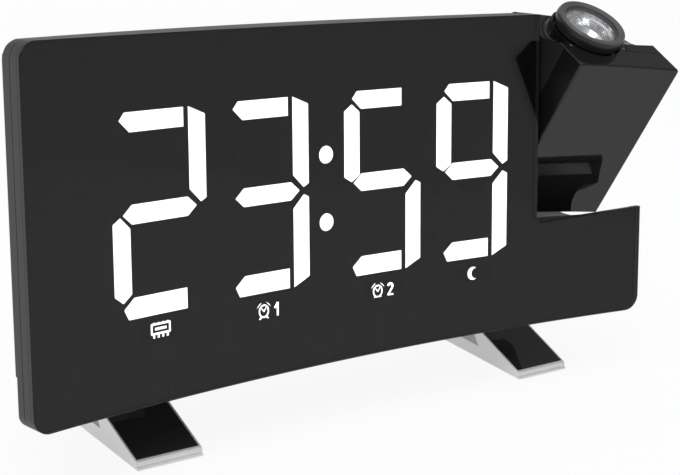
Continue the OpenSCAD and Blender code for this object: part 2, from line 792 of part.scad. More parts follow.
charge_w = 12.6;
charge_h = 5.2;
jack_w = 8;
jack_r = 3;
jack_bore = 1.9;
jack_pin_r = 0.65;
vent_x = [44, 47.4, 50.8];
vent_z = [24, 36];
vent_w = 1.6;
vent_h = 9;
shelf_x = [-46, -14, 14, 46];
relief = 0.3;
foot_socket_wall = 1.5;
foot_socket_top = 2.4;
module rear_cover() {
    color([0.11, 0.11, 0.115]) placed() difference() {
        union() {
            difference() {
                back_solid(0);
                nearer(cover_depth);
                difference() {
                    back_solid(wall);
                    swing_hollow(wall);
                    at_case_screws() rod_y(0, 0, screw_boss_r, -reach, reach);
                    // battery well
                    back_box(battery_x, battery_z, well_w + 3, well_w + 3, well_y - 1.4, reach);
                    // loudspeaker seat
                    difference() {
                        rod_y(speaker_x, speaker_z, speaker_r + 1, speaker_seat_y, reach);
                        rod_y(speaker_x, speaker_z, speaker_r - 2 * speaker_rim, 0, reach);
                    }
                    // board posts
                    for (x = [-spacer_x, spacer_x]) {
                        for (z = spacer_z) {
                            rod_y(x, z, spacer_r + 0.4, main_y + board_t, reach);
                        }
                    }
                    // shelves under the button board
                    for (x = shelf_x) {
                        back_box(x, key_board_z - 1, 2, 2, 13, reach);
                    }
                    // foot sockets
                    for (x = foot_x) {
                        back_box(x, bulge_z0 + wall + foot_socket_top, post_w + 2 * foot_socket_wall, post_in,
                            post_y - post_d / 2 - foot_socket_wall, post_y + post_d / 2 + foot_socket_wall);
                    }
                }
            }
        }
        shelf_cut();
        swing_hollow(0);
        // everything in front of the frame bosses' ends
        at_case_screws() rod_y(0, 0, screw_boss_r + cut_play, 0, boss_front_d);
        at_case_screws() rod_y(0, 0, screw_r + cut_play, 0, reach);
        at_case_screws() rod_y(0, 0, screw_head_r + relief, well_floor_d, reach);
        // board screw holes
        for (x = [-spacer_x, spacer_x]) {
            for (z = spacer_z) {
                rod_y(x, z, board_hole_r, main_y + board_t - 1, main_y + board_t + 5);
            }
        }
        grille_holes();
        // relief for the light box's lower edge
        translate([display_x0 - relief, -reach, display_z0 - relief])
            cube([display_x1 - display_x0 + 2 * relief, reach + led_y + board_t + relief, 3]);
        // battery well, with a step for its door
        back_box(battery_x, battery_z, well_w, well_w, well_y, reach);
        difference() {
            back_box(battery_x, battery_z, door_w + 2 * slip, door_h + 2 * slip, well_y + 2, reach);
            translate([0, back_axis_y, 0])
                cylinder(r = bulge_r - door_t - door_seat, h = case_h, $fn = curve_fn);
        }
        door_bar(door_pin_r + cut_play, door_pin_l + 2 * slip);
        // keys
        key_block(0, snooze_w + 2 * slip, key_d + 2 * slip, bulge_z1 - wall - 1, case_h);
        for (x = key_x) {
            key_block(x, key_w + 2 * slip, key_d + 2 * slip, bulge_z1 - wall - 1, case_h);
        }
        // sockets
        back_box(charge_x, socket_z, charge_w + 2 * socket_gap, charge_h + 2 * socket_gap, main_y, reach);
        rod_y(jack_x, socket_z, jack_r + cut_play, main_y, reach);
        // vents
        for (x = vent_x) {
            for (z = vent_z) {
                back_box(x, z, vent_w, vent_h, 12, reach);
            }
        }
        // hinge bush
        rod_x(bush_r + fit, notch_x - wall - 1, notch_x + 1);
        // foot posts
        for (x = foot_x) {
            back_box(x, bulge_z0, post_w + 2 * socket_gap, 2 * (post_in + socket_gap),
                post_y - post_d / 2 - socket_gap, post_y + post_d / 2 + socket_gap);
        }
    }
}

module notch_trim() {
    color([0.75, 0.76, 0.78]) placed() intersection() {
        layer(panel_t + cut_play, shelf_depth - cut_play);
        translate([notch_x + relief, -reach, shelf_z - trim_t])
            cube([trim_x1 - cut_play - notch_x - relief, 2 * reach, trim_t]);
    }
}

module button_board() {
    color([0.1, 0.35, 0.16]) placed() difference() {
        key_block(0, 2 * max(key_x) + key_w, key_d + 4, key_board_z, key_board_z + board_t);
        for (x = [-key_hole_x, key_hole_x]) {
            translate([x, key_mid_y(x), key_board_z - 1]) cylinder(r = key_hole_r, h = board_t + 2);
        }
    }
}

function key_mid_y(x) = back_axis_y + sqrt(pow(key_mid_r, 2) - pow(x, 2));
module button_switches() {
    base_z = key_board_z + board_t;
    color([0.15, 0.15, 0.16]) placed() for (x = concat(key_x, [-snooze_switch_x, snooze_switch_x])) {
        translate([x - switch_w / 2, key_mid_y(x) - switch_w / 2, base_z])
            cube([switch_w, switch_w, switch_h]);
        translate([x, key_mid_y(x), base_z + switch_h - eps]) cylinder(r = plunger_r, h = plunger_h + eps);
    }
}

// A key: a cap that stands out of the bulge's top, with a flange that holds it under the wall
module key(x, w) {
    color([0.14, 0.14, 0.15]) placed() {
        key_block(x, w, key_d, key_low_z, bulge_z1 + key_rise);
        key_block(x, w + 2 * key_flange, key_d + 2 * key_flange, key_low_z, key_low_z + key_flange_t);
    }
}

module snooze_key() {
    key(0, snooze_w);
}

module set_key() {
    key(key_x[2], key_w);
}

module alarm_key() {
    key(key_x[1], key_w);
}

module mode_key() {
    key(key_x[0], key_w);
}

module down_key() {
    key(key_x[3], key_w);
}

module up_key() {
    key(key_x[4], key_w);
}

module projector_key() {
    key(key_x[5], key_w);
}

module speaker_frame() {
    color([0.6, 0.6, 0.62]) placed() {
        difference() {
            rod_y(speaker_x, speaker_z, speaker_r + speaker_rim, speaker_seat_y - 1, speaker_seat_y);
            rod_y(speaker_x, speaker_z, speaker_r - 1 - basket_t, speaker_seat_y - 2, speaker_seat_y + 1);
        }
        difference() {
            rod_y(speaker_x, speaker_z, speaker_r - 1, speaker_seat_y - basket_d, speaker_seat_y - 1);
            rod_y(speaker_x, speaker_z, speaker_r - 1 - basket_t, speaker_seat_y - basket_d + basket_t,
                speaker_seat_y + 1);
        }
        rod_y(speaker_x, speaker_z, magnet_r, speaker_seat_y - basket_d - magnet_d,
            speaker_seat_y - basket_d);
    }
}

// The cone, with its dust cap in the middle and its rim at the front
module speaker_cone() {
    rim_r = speaker_r - 2.2;
    cap_r = 3;
    color([0.2, 0.2, 0.2]) placed()
        translate([speaker_x, speaker_seat_y - basket_d + basket_t, speaker_z]) rotate([-90, 0, 0])
            rotate_extrude()
                polygon([[0, 0.2], [cap_r, 0.2], [rim_r, 2.4], [rim_r, 3], [cap_r, 1.2], [0, 1.6]]);
}

// A round bar along the battery door's lower edge, its hinge line, that reaches past both ends
module door_bar(r, over) {
    x0 = battery_x - door_w / 2;
    x1 = battery_x + door_w / 2;
    turn = atan2(bulge_back_y(x1) - bulge_back_y(x0), door_w);
    translate([x0, bulge_back_y(x0) - door_pin_in, battery_z - door_h / 2 + door_pin_z])
        rotate([0, 0, turn]) translate([-over, 0, 0]) rotate([0, 90, 0])
            cylinder(r = r, h = door_w / cos(turn) + 2 * over);
}

module battery_door() {
    color([0.12, 0.12, 0.125]) placed() difference() {
        union() {
            door_plate();
            difference() {
                door_bar(door_pin_r, door_pin_l);
                back_box(battery_x, battery_z, door_w - 2, door_h + 2, 0, reach);
            }
        }
        // finger grooves
        for (n = [0 : 3]) {
            back_box(battery_x, battery_z + door_h / 2 - 4 - 2 * groove_h * n, groove_w, groove_h,
                bulge_back_y(battery_x) - 0.7, reach);
        }
    }
}

// The curved plate of the battery door
module door_plate() {
    intersection() {
        translate([0, back_axis_y, 0]) difference() {
            cylinder(r = bulge_r, h = case_h, $fn = curve_fn);
            translate([0, 0, -1]) cylinder(r = bulge_r - door_t, h = case_h + 2, $fn = curve_fn);
        }
        back_box(battery_x, battery_z + door_end_gap, door_w, door_h - 2 * door_end_gap, 0, reach);
    }
}

module coin_cell() {
    color([0.78, 0.78, 0.8]) placed() {
        rod_y(battery_x, battery_z, cell_r - cell_edge, cell_y, cell_y + cell_step);
        rod_y(battery_x, battery_z, cell_r, cell_y + cell_step, cell_y + cell_t);
    }
}

module battery_contacts() {
    color([0.8, 0.78, 0.7]) placed() {
        back_box(battery_x, battery_z, contact_w, 14, well_y, well_y + contact_t);
        back_box(battery_x + well_w / 2 - slip, battery_z, 2 * slip, contact_w, well_y, well_y + cell_t);
    }
}

module charging_socket() {
    color([0.7, 0.71, 0.73]) placed() {
        mouth = bulge_back_y(charge_x) - 0.6;
        shell = 0.35;
        tongue_t = 1.8;
        difference() {
            back_box(charge_x, socket_z, charge_w, charge_h, main_y + board_t, mouth);
            back_box(charge_x, socket_z, charge_w - 2 * shell, charge_h - 2 * shell, main_y + board_t + 1.5,
                mouth + 1);
        }
        back_box(charge_x, socket_z + tongue_t / 2, charge_w - 2.4, tongue_t, main_y + board_t + 1,
            mouth - 0.8);
    }
}

module power_socket() {
    color([0.1, 0.1, 0.1]) placed() {
        mouth = bulge_back_y(jack_x) - 0.8;
        difference() {
            union() {
                back_box(jack_x, socket_z, jack_w, jack_w, main_y + board_t, mouth - 3);
                rod_y(jack_x, socket_z, jack_r, mouth - 3 - eps, mouth);
            }
            rod_y(jack_x, socket_z, jack_bore, main_y + board_t + 1, mouth + 1);
        }
        rod_y(jack_x, socket_z, jack_pin_r, main_y + board_t + 0.5, mouth - 1);
    }
}

bush_x0 = notch_x - wall - 1.5;
washer_t = 0.6;
washer_x0 = bush_x0 - cut_play - washer_t;
nut_t = 2;
nut_r = shaft_r + 2.4;
shaft_wall = 1.4;
shaft_flange_t = 1.4;
module hinge_bush() {
    color([0.3, 0.3, 0.32]) placed() difference() {
        union() {
            rod_x(bush_r, bush_x0, notch_x + 0.5);
            rod_x(bush_flange_r, bush_x0, notch_x - wall - fit);
        }
        rod_x(shaft_r + shaft_play, bush_x0 - 1, notch_x + 2);
    }
}

module hinge_washer() {
    color([0.75, 0.76, 0.78]) placed() leaned() difference() {
        rod_x(bush_r, washer_x0, washer_x0 + washer_t);
        rod_x(shaft_r + cut_play, bush_x0 - 2, bush_x0 + 1);
    }
}

module hinge_nut() {
    color([0.75, 0.76, 0.78]) placed() leaned() difference() {
        translate([washer_x0 - cut_play - nut_t, hinge_y, hinge_z]) rotate([0, 90, 0])
            cylinder(r = nut_r, h = nut_t, $fn = 6);
        rod_x(shaft_r + fit, 0, bush_x0);
    }
}

module hinge_shaft() {
    color([0.75, 0.76, 0.78]) placed() leaned() difference() {
        union() {
            rod_x(shaft_r, washer_x0 - nut_t - 3 * cut_play, arm_x0 + wall + shaft_flange_t);
            rod_x(hinge_flange_r, arm_x0 + wall + fit, arm_x0 + wall + shaft_flange_t);
        }
        rod_x(shaft_r - shaft_wall, 0, arm_x0 + wall + 5);
    }
}

// The straight line that the back of the arm's slab follows, seen from above
arm_back_y0 = front_y(arm_x0) + arm_slab_in;
arm_back_y1 = front_y(arm_x1) + arm_slab_out;
arm_back_turn = atan2(arm_back_y1 - arm_back_y0, arm_w);
arm_root_w = sqrt(pow(arm_root_r, 2) - pow(arm_root_r - arm_drop, 2));
arm_bulge_z = arm_z1 - arm_drop;

// Front view of the arm, shrunk all round
module arm_outline(inset) {
    polygon([[arm_x0 + inset, arm_z0 + inset], [arm_x1 - inset, arm_z0 + inset],
        [arm_x1 - inset, arm_z1 - arm_fall - inset], [arm_x0 + inset, arm_z1 - inset]]);
}

// Side view of the arm's top with Y measured from the back of the slab: slab, hollow slope and bulge
module arm_profile(inset) {
    top_z = arm_z1 + 1 - inset;
    root_z = arm_bulge_z - 2 * wall;
    translate([-reach, 0]) square([reach - inset, top_z]);
    translate([-reach, 0]) square([2 * reach, arm_bulge_z - inset]);
    difference() {
        translate([-inset - 1, root_z]) square([arm_root_w + 1, top_z - root_z]);
        translate([arm_root_w, arm_bulge_z + arm_root_r]) circle(arm_root_r + inset);
    }
}

// Turns what is drawn against the back of the arm's slab to the line that the slab follows
module against_slab() {
    translate([arm_x0, arm_back_y0, 0]) rotate([0, 0, arm_back_turn]) children();
}

// Half section of the arm's bulge, swept round the back's upright axis
module arm_bulge_section(inset) {
    in_r = back_r - 12;
    out_r = bulge_r - inset;
    low_r = bulge_edge_r - inset;
    top_r = arm_edge_r - inset / 2;
    low_z = arm_z0 + inset;
    top_z = arm_bulge_z - inset + excess;
    translate([in_r, low_z]) square([out_r - low_r - in_r, 20]);
    translate([in_r, low_z + low_r]) square([out_r - in_r, top_z - top_r - low_z - low_r]);
    translate([in_r, low_z + 10]) square([out_r - top_r - in_r, case_h - low_z]);
    translate([out_r - low_r, low_z + low_r]) circle(low_r);
    translate([out_r - top_r, top_z - top_r]) circle(top_r);
}

// The arm's bulge seen from above, with a hollow root where its outer end meets the slab
module arm_plan(inset) {
    end_x = arm_x1 - arm_end - inset;
    mid_x = arm_x1 - arm_end - bulge_end_r;
    mid_y = back_axis_y + sqrt(pow(bulge_r - bulge_end_r + excess, 2) - pow(mid_x, 2));
    spread = 1.1;
    far_y = back_axis_y + spread * (mid_y - back_axis_y);
    root_y = arm_back_y1 + 0.3 + sqrt(pow(arm_end_root_r, 2) - pow(arm_end_root_r - arm_end, 2));
    translate([arm_x0 + inset, -reach]) square([end_x - arm_x0 - inset, reach + mid_y]);
    polygon([[arm_x0 + inset, mid_y - 1], [mid_x, mid_y - 1], [mid_x, mid_y], [spread * mid_x, far_y],
        [arm_x0 + inset, far_y]]);
    translate([mid_x, mid_y]) circle(bulge_end_r - inset);
    difference() {
        translate([end_x - 1, -reach]) square([arm_end + 1, reach + root_y]);
        translate([end_x + inset + arm_end_root_r, root_y]) circle(arm_end_root_r + inset);
    }
}

// The whole arm as a solid in its upright place: a slab with a bulge, as the case has
module arm_solid(inset) {
    difference() {
        intersection() {
            along_y(-reach, reach) arm_outline(inset);
            against_slab() along_x(-reach, reach) arm_profile(inset);
            union() {
                against_slab() translate([-reach, -reach, 0]) cube([2 * reach, reach - inset, case_h + 1]);
                intersection() {
                    translate([0, back_axis_y, 0]) rotate_extrude($fn = curve_fn) arm_bulge_section(inset);
                    linear_extrude(case_h + 1) arm_plan(inset);
                }
            }
        }
        nearer(inset);
        arm_bevel(inset);
    }
}

// What the slope at the outer end of the bulge's top takes away
arm_slope = 30;
arm_slope_turn = 24;
module arm_bevel(inset) {
    difference() {
        translate([arm_x1 - arm_end + 0.4, arm_back_y1 + 3.5, arm_bulge_z - 0.2 - inset])
            rotate([0, 0, arm_slope_turn]) rotate([0, arm_slope, 0])
                translate([-arm_w / 2, -arm_w / 2, 0]) cube([arm_w, 2 * arm_w, arm_w / 2]);
        against_slab() translate([-reach, -reach, 0]) cube([2 * reach, reach, case_h + arm_w]);
    }
}

module lens_rod(r, z0, z1) {
    translate([lens_x, hinge_y, z0]) cylinder(r = r, h = z1 - z0);
}

module at_arm_screws() {
    for (at = arm_screw_at) {
        translate([at[0], front_y(at[0]), at[1]]) children();
    }
}

module arm_front_cover() {
    color([0.05, 0.05, 0.055]) placed() leaned() difference() {
        union() {
            difference() {
                intersection() {
                    arm_solid(0);
                    nearer(arm_front_d);
                }
                arm_solid(wall);
            }
            // boss round the lens barrel, with its collar
            intersection() {
                lens_rod(ring_r + wall, ring_low_z - ring_floor, arm_z1 + 1);
                arm_solid(0);
            }
            lens_rod(ring_r + collar_t, ring_low_z - 2, arm_z1 + collar_rise);
            at_arm_screws() rod_y(0, 0, arm_boss_r, 1, arm_front_d - slip);
        }
        lens_rod(ring_r + ring_gap, ring_low_z - ring_gap, arm_z1 + 5);
        lens_rod(barrel_r + cut_play, arm_z0 + 10, arm_z1 + 5);
        at_arm_screws() rod_y(0, 0, arm_screw_r + cut_play, wall, arm_front_d + 3);
    }
}

module arm_rear_cover() {
    color([0.12, 0.12, 0.125]) placed() leaned() difference() {
        difference() {
            arm_solid(0);
            nearer(arm_front_d + arm_seam);
        }
        difference() {
            arm_solid(wall);
            at_arm_screws() rod_y(0, 0, arm_boss_r, arm_front_d, reach);
            // posts under the lamp board
            for (y = [hinge_y - 7, hinge_y + 7]) {
                translate([lens_x - 2, y - 1.5, arm_z0]) cube([4, 3, lamp_board_z - arm_z0]);
            }
        }
        lens_rod(ring_r + wall + slip, ring_low_z - ring_floor - slip, arm_z1 + 5);
        at_arm_screws() rod_y(0, 0, arm_screw_r + cut_play, 0, reach);
        at_arm_screws() rod_y(0, 0, arm_screw_head_r + slip, arm_front_d + arm_screw_wall, reach);
        rod_x(shaft_r + fit, arm_x0 - 2, arm_x0 + wall + 2);
    }
}

module lamp_board() {
    color([0.1, 0.35, 0.16]) placed() leaned()
        translate([lens_x - lamp_board_w / 2 - 0.7, hinge_y - lamp_board_w / 2 - 1, lamp_board_z])
            cube([lamp_board_w, lamp_board_w, board_t]);
}

module projector_lamp() {
    color([0.95, 0.9, 0.6]) placed() leaned() {
        lens_rod(lamp_r + 0.5, lamp_z, lamp_z + 1);
        lens_rod(lamp_r, lamp_z, lamp_z + lamp_h);
        translate([lens_x, hinge_y, lamp_z + lamp_h]) sphere(lamp_r);
    }
}

module lens_barrel() {
    color([0.06, 0.06, 0.06]) placed() leaned() difference() {
        lens_rod(barrel_r, lamp_z, ring_top_z - 2);
        lens_rod(barrel_bore, condenser_z, ring_top_z);
        lens_rod(barrel_bore - 1, lamp_z - 1, ring_top_z);
    }
}

module condenser_lens() {
    color([0.85, 0.9, 0.95, 0.5]) placed() leaned() intersection() {
        lens_rod(barrel_bore - cut_play, condenser_z, condenser_z + condenser_t);
        translate([lens_x, hinge_y, condenser_mid_z]) sphere(condenser_r);
    }
}

module image_slide() {
    color([0.4, 0.45, 0.5]) placed() leaned()
        translate([lens_x - slide_w / 2, hinge_y - slide_w / 2, slide_z]) cube([slide_w, slide_w, slide_t]);
}

// The focus ring: a rim over a narrower waist, bored from below for the barrel, with a seat for the lens
module focus_ring() {
    waist_r = ring_r - slip;
    rim_z = ring_top_z - 1.3;
    bevel = 0.4;
    color([0.3, 0.3, 0.31]) placed() leaned() {
        translate([lens_x, hinge_y, 0]) rotate_extrude($fn = 96) difference() {
            polygon([[lens_r, ring_low_z], [ring_r - 0.5, ring_low_z], [waist_r, ring_low_z + 0.3],
                [waist_r, rim_z - slip], [ring_r, rim_z], [ring_r, ring_top_z - bevel],
                [ring_r - bevel, ring_top_z], [lens_r + 0.5, ring_top_z], [lens_r, ring_top_z - ring_lip]]);
            translate([lens_r - 1, ring_low_z - 1])
                square([barrel_r + barrel_play - lens_r + 1, lens_seat_z - ring_low_z + 1]);
            translate([lens_r - 1, lens_seat_z - eps])
                square([1 + lens_rim, ring_top_z - ring_lip - lens_seat_z]);
        }
    }
}

// The projection lens: flat below and domed above, with a rim that sits under the ring's lip
module projection_lens() {
    color([0.85, 0.9, 0.95, 0.5]) placed() leaned() {
        translate([lens_x, hinge_y, 0]) rotate_extrude($fn = 96) difference() {
            intersection() {
                translate([0, lens_seat_z]) square([lens_r + lens_rim - fit, 3]);
                translate([0, lens_seat_z + lens_rise - lens_dome_r]) circle(lens_dome_r, $fn = 360);
            }
            translate([lens_r - 0.15, ring_top_z - ring_lip - fit]) square(3);
            translate([-30, lens_seat_z - 5]) square([30, 20]);
        }
    }
}

module arm_screws() {
    color([0.6, 0.6, 0.62]) placed() leaned() at_arm_screws() {
        rod_y(0, 0, arm_screw_r, wall + 0.6, arm_front_d + arm_screw_wall + cut_play);
        rod_y(0, 0, arm_screw_head_r, arm_front_d + arm_screw_wall + fit, arm_front_d + arm_screw_wall + 1.4);
    }
}

module case_screws() {
    color([0.6, 0.6, 0.62]) placed() at_case_screws() difference() {
        union() {
            rod_y(0, 0, screw_r, panel_t + 1.4, well_floor_d + 0.5);
            rod_y(0, 0, screw_head_r, well_floor_d + fit, well_floor_d + screw_head_t);
        }
        for (turn = [0, 90]) {
            rotate([0, turn, 0]) translate([-slot_l / 2, well_floor_d + screw_head_t / 2, -slot_w / 2])
                cube([slot_l, 2, slot_w]);
        }
    }
}

// Places on a foot, in table coordinates
leg_t = 3;
toe_chamfer = 0.9;
toe_groove_z = 1.1;
toe_groove_h = 0.3;
pad_in = 2;
inlay_t = 0.8;
inlay_side = 0.5;
inlay_toe = 1.7;
inlay_top = 1.6;
leg_top_y = toe_y + 23;
function leg_z(y) = lip_h + (y - toe_y - toe_chamfer) * tan(leg_slope);
post_foot_y = leaned_y(post_y, bulge_z0);
post_foot_z = lifted_z(post_y, bulge_z0);
tail_h = 3.2;

// Side view of a foot's frame in table coordinates, with the case's lower edge over the origin
module foot_profile() {
    back = toe_y + foot_l;
    neck = post_d / 2 + 0.8;
    difference() {
        polygon([[toe_y, pad_h], [toe_y + toe_chamfer, lip_h], [leg_top_y, leg_z(leg_top_y)],
            [post_foot_y - neck - 1.5, post_foot_z - 4], [post_foot_y - neck, post_foot_z - 1.2],
            [post_foot_y + neck, post_foot_z - 2.2], [post_foot_y + neck + 3, post_foot_z - 7],
            [back, tail_h], [back, pad_h]]);
        // the open triangle between ground bar and leg
        inner_y = toe_y + 17.6;
        under_y = inner_y + 2.2;
        polygon([[inner_y, bar_rise], [under_y, leg_z(under_y) - leg_t],
            [leg_top_y, leg_z(leg_top_y) - leg_t], [post_foot_y + 1.6, post_foot_z - 9.5],
            [inner_y + 16, bar_rise]]);
        // the groove between lip and ground bar
        translate([toe_y - 1, toe_groove_z]) square([1 + toe_chamfer, toe_groove_h]);
    }
}

module foot(x) {
    color([0.8, 0.8, 0.81]) {
        translate([0, -origin_y, 0]) difference() {
            along_x(x - foot_w / 2, x + foot_w / 2) foot_profile();
            // bed of the inlay
            along_x(x - foot_w / 2 + inlay_side, x + foot_w / 2 - inlay_side) inlay_profile(fit, 3);
        }
        placed() difference() {
            back_box(x, bulge_z0, post_w, 2 * post_in, post_y - post_d / 2, post_y + post_d / 2);
            back_box(x, bulge_z0 - post_in - 4, post_w + 1, 10, post_y - 10, post_y + 10);
        }
    }
}

// Side view of the inlay on the foot's sloping front
module inlay_profile(gap, over) {
    y0 = toe_y + inlay_toe;
    y1 = leg_top_y - inlay_top;
    polygon([[y0 - gap, leg_z(y0) - inlay_t - gap], [y1 + gap, leg_z(y1) - inlay_t - gap],
        [y1 + gap, leg_z(y1) + over], [y0 - gap, leg_z(y0) + over]]);
}

module left_foot() {
    foot(foot_x[0]);
}

module right_foot() {
    foot(foot_x[1]);
}

module foot_inlays() {
    color([0.04, 0.04, 0.045]) translate([0, -origin_y, 0]) for (x = foot_x) {
        along_x(x - foot_w / 2 + 0.6, x + foot_w / 2 - 0.6) inlay_profile(0, 0);
    }
}

module foot_pads() {
    color([0.2, 0.2, 0.2]) translate([0, -origin_y, 0]) for (x = foot_x) {
        translate([x - foot_w / 2 + pad_in, toe_y + pad_in, 0])
            cube([foot_w - 2 * pad_in, foot_l - 2 * pad_in, pad_h]);
    }
}

front_panel();
front_frame();
display_mask();
lit_segments();
unlit_segments();
colon_dots();
indicator_guides();
light_reflector();
led_board();
leds();
main_board();
main_board_chips();
board_spacers();
rear_cover();
notch_trim();
button_board();
button_switches();
snooze_key();
set_key();
alarm_key();
mode_key();
down_key();
up_key();
projector_key();
speaker_frame();
speaker_cone();
battery_door();
coin_cell();
battery_contacts();
charging_socket();
power_socket();
hinge_bush();
hinge_washer();
hinge_shaft();
hinge_nut();
arm_front_cover();
arm_rear_cover();
lens_barrel();
lamp_board();
projector_lamp();
condenser_lens();
image_slide();
focus_ring();
projection_lens();
arm_screws();
case_screws();
left_foot();
right_foot();
foot_inlays();
foot_pads();
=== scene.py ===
import json
import math
import bmesh
import bpy
from mathutils import Euler, Matrix, Vector


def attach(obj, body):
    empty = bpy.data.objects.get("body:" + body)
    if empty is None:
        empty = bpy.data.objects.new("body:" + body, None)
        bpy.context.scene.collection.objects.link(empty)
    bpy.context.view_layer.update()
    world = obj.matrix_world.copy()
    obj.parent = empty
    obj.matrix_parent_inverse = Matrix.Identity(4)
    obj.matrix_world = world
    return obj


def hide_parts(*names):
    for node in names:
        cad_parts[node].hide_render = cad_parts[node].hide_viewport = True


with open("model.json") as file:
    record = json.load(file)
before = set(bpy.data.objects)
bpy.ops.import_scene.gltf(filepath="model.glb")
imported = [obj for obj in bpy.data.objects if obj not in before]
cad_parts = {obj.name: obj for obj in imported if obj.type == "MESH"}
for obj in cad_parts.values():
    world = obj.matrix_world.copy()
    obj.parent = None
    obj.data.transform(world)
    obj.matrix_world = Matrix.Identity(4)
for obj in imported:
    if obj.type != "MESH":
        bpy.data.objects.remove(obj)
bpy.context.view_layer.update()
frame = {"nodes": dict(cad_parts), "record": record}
scene = bpy.context.scene
nodes = frame["nodes"]
record = frame["record"]
mm = 0.001
weldGap = 0.002 * mm
print("frame loaded:", len(nodes), "nodes")

# the upright case's own coordinates in millimetres: X right, Y back, Z up, origin under the display
clock = {
    "width": 190.0, "height": 83.7, "cornerRadius": 4.3, "lean": 10.0, "frontRadius": 513.0,
    "notchX": 59.7, "notchZ": 28.0, "notchRise": 1.5, "notchRadius": 1.8,
    "hingeY": 9.0, "hingeZ": 55.0, "armLean": 34.3, "cornerSteps": 10, "notchSteps": 6}
joints = {j["name"]: j for j in record["behaviour"]["joints"]}
hinge = Vector(joints["projector_swing"]["pos_m"])
hinge.x = 0.0
tilt = Matrix.Rotation(math.radians(-clock["lean"]), 3, "X")
swing = Matrix.Rotation(math.radians(clock["armLean"]), 3, "X")


def inCase(x, y, z):  # a point of the upright case, in the row frame
    return hinge + tilt @ (Vector((x, y - clock["hingeY"], z - clock["hingeZ"])) * mm)


def inArm(x, y, z):  # a point of the upright arm, in the row frame at rest
    return hinge + tilt @ swing @ (Vector((x, y - clock["hingeY"], z - clock["hingeZ"])) * mm)


def frontY(x):  # the hollow front, seen from above
    return math.sqrt(clock["frontRadius"] ** 2 - x * x) - clock["frontRadius"]


class Wire:  # a socket that plain arithmetic works on
    def __init__(self, paint, socket):
        self.paint = paint
        self.socket = socket

    def calc(self, operation, a, b):
        return self.paint.node("ShaderNodeMath", {"operation": operation}, {0: a, 1: b})

    def __add__(self, other):
        return self.calc("ADD", self, other)

    def __mul__(self, other):
        return self.calc("MULTIPLY", self, other)

    def out(self, name):
        return Wire(self.paint, self.socket.node.outputs[name])


class Paint:  # one node tree under construction
    def __init__(self, name, owner=None):
        self.material = owner or bpy.data.materials.new(name)
        self.material.use_nodes = True
        self.tree = self.material.node_tree
        self.tree.nodes.clear()

    def node(self, kind, settings=None, values=None):
        made = self.tree.nodes.new(kind)
        for key, value in (settings or {}).items():
            if key == "stops":  # colour ramp: (place, grey)
                while len(made.color_ramp.elements) < len(value):
                    made.color_ramp.elements.new(0.5)
                for element, (place, tone) in zip(made.color_ramp.elements, value):
                    element.position = place
                    element.color = grey(tone)
            else:
                setattr(made, key, value)
        for key, value in (values or {}).items():
            if isinstance(value, Wire):
                self.tree.links.new(value.socket, made.inputs[key])
            else:
                made.inputs[key].default_value = value
        return Wire(self, made.outputs[0]) if made.outputs else None

    def noise(self, scale, detail=2.0, roughness=0.5):
        spot = self.node("ShaderNodeTexCoord").out("Object")
        return self.node("ShaderNodeTexNoise", {}, {
            "Vector": spot, "Scale": scale, "Detail": detail, "Roughness": roughness})

    def span(self, value, low, high):  # spreads a noise over low to high
        return self.node("ShaderNodeMapRange", {}, {
            "Value": value, "From Min": vary["noise"]["low"], "From Max": vary["noise"]["high"],
            "To Min": low, "To Max": high})

    def mix(self, share, a, b):
        return self.node("ShaderNodeMix", {"data_type": "RGBA"}, {0: share, 6: a, 7: b}).out(2)

    def bump(self, height, distance, strength=0.3):
        return self.node("ShaderNodeBump", {}, {
            "Height": height, "Distance": distance, "Strength": strength})

    def finish(self, values):
        shader = self.node("ShaderNodeBsdfPrincipled", {}, values)
        self.node("ShaderNodeOutputMaterial", {}, {"Surface": shader})
        return self.material


def grey(value):
    return (value, value, value, 1.0)


# how fine each kind of finish's slow and quick changes are, and how far they go
vary = {
    "noise": {"low": 0.25, "high": 0.75},
    "textured": {"cloud": 40.0, "darker": 0.9, "lighter": 1.1, "rough": 0.03, "bump": 0.25},
    "glossy": {"smear": 60.0, "smoother": 0.7, "rougher": 1.5},
    "metal": {"smoother": 0.05, "rougher": 0.06, "bump": 0.2},
    "lacquer": {"flake": 6000.0, "cloud": 90.0, "darker": 0.95, "metallic": 0.55, "rough": 0.04,
                "depth": 0.002, "bump": 0.15},
    "glowing": {"cloud": 300.0, "paler": 0.97, "rough": 0.4},
    "plain": {"darker": 0.85, "rough": 0.05}}


def textured(name, tone, rough, grain, depth, ior=1.5):
    paint, by = Paint(name), vary["textured"]
    spark = paint.noise(grain, 3.0, 0.6)
    cloud = paint.noise(by["cloud"])
    dark, light = grey(tone * by["darker"]), grey(tone * by["lighter"])
    return paint.finish({
        "Base Color": paint.mix(paint.span(cloud, 0.0, 1.0), dark, light),
        "Roughness": paint.span(cloud, rough - by["rough"], rough + by["rough"]),
        "IOR": ior, "Normal": paint.bump(spark, depth * mm, by["bump"])})


def glossy(name, tone, rough, ior=1.5, alpha=1.0):
    paint, by = Paint(name), vary["glossy"]
    smear = paint.noise(by["smear"], 4.0, 0.6)
    return paint.finish({
        "Base Color": grey(tone), "IOR": ior, "Alpha": alpha,
        "Roughness": paint.span(smear, rough * by["smoother"], rough * by["rougher"])})


def metal(name, colour, rough, grain=400.0, depth=0.004):
    paint, by = Paint(name), vary["metal"]
    brush = paint.noise(grain, 3.0)
    return paint.finish({
        "Base Color": colour, "Metallic": 1.0,
        "Roughness": paint.span(brush, rough - by["smoother"], rough + by["rougher"]),
        "Normal": paint.bump(brush, depth * mm, by["bump"])})


